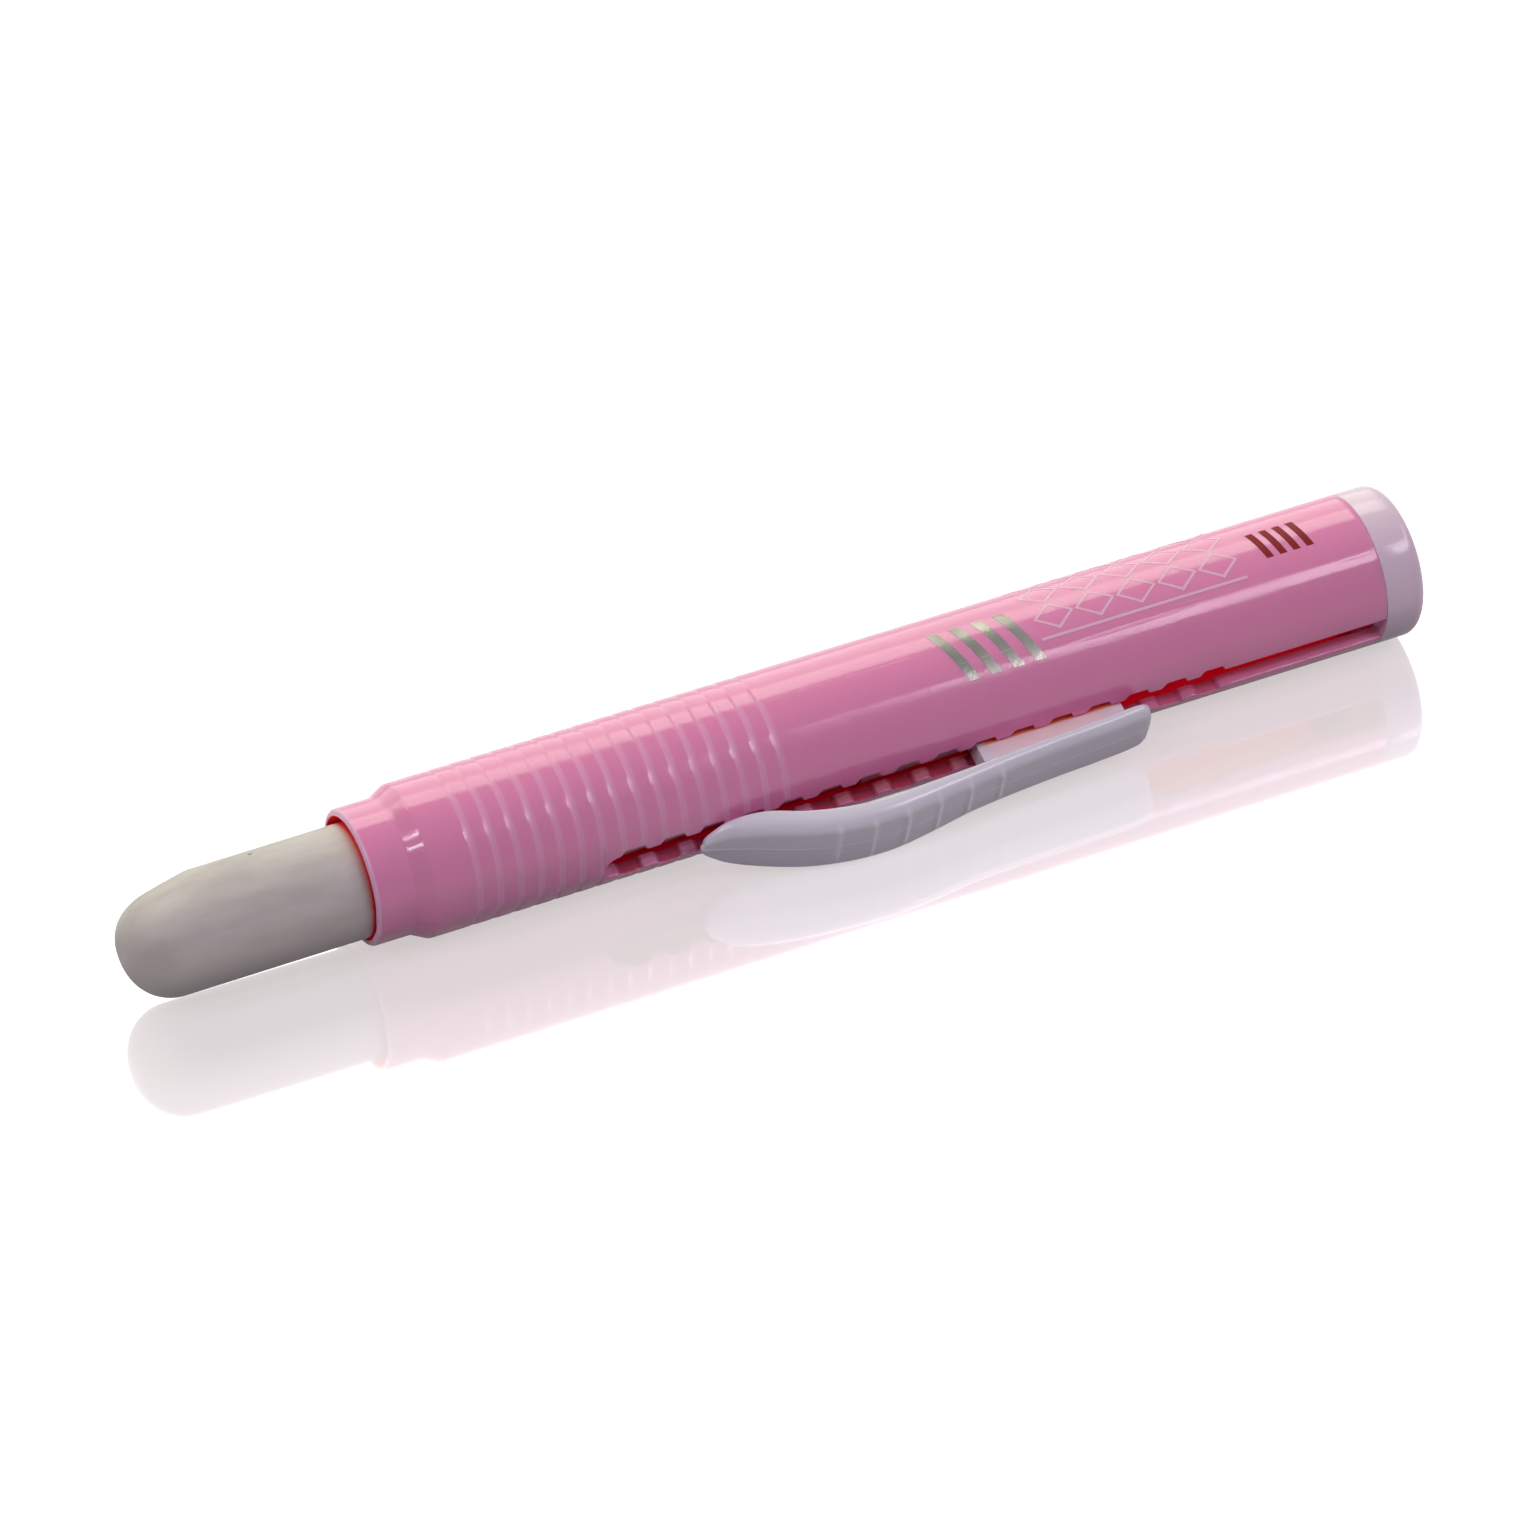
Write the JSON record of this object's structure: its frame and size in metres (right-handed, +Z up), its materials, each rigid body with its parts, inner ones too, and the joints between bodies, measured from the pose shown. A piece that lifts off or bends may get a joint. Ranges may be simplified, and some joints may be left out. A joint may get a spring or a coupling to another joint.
{
  "type": "retractable rubber eraser",
  "caption": "Pen-style retractable eraser: notched plastic barrel with grip grooves, rear cap, pressed and sliding thumb clip, and a round rubber stick held by a carriage.",
  "frame": {"origin": "on the table, under the middle of the holder as it lies", "axes": "+X along the barrel from the eraser tip to the rear cap, +Z up, clip on the -Y side resting on the table"},
  "size_m": [0.0968, 0.015, 0.011],
  "materials": {
    "barrel_plastic": "glossy, slightly translucent pink",
    "cap_plastic": "satin lavender grey",
    "clip_plastic": "glossy lavender grey",
    "carriage_plastic": "plain moulded",
    "latch_plastic": "plain moulded, springy",
    "eraser_rubber": "matt, rubbed at the tip"
  },
  "bodies": {
    "holder": {"barrel": "barrel_plastic", "end_cap": "cap_plastic"},
    "carriage": {"eraser_carriage": "carriage_plastic", "eraser_stick": "eraser_rubber", "latch_spring": "latch_plastic"},
    "clip": {"thumb_clip": "clip_plastic"}
  },
  "joints": [
    {"name": "slider_travel", "type": "slide", "parent": "holder", "child": "carriage", "axis": [1, 0, 0], "range_m": [-0.02661, 0.01774]},
    {"name": "clip_press", "type": "hinge", "parent": "carriage", "child": "clip", "pos_m": [-0.00611, -0.00317, 0.00352], "axis": [0, -0.3559, 0.9345], "range_deg": [0, 1.5], "stiffness_Nm_per_rad": 0.3, "springref_deg": -0.57, "deforming": ["latch_spring"]}
  ]
}
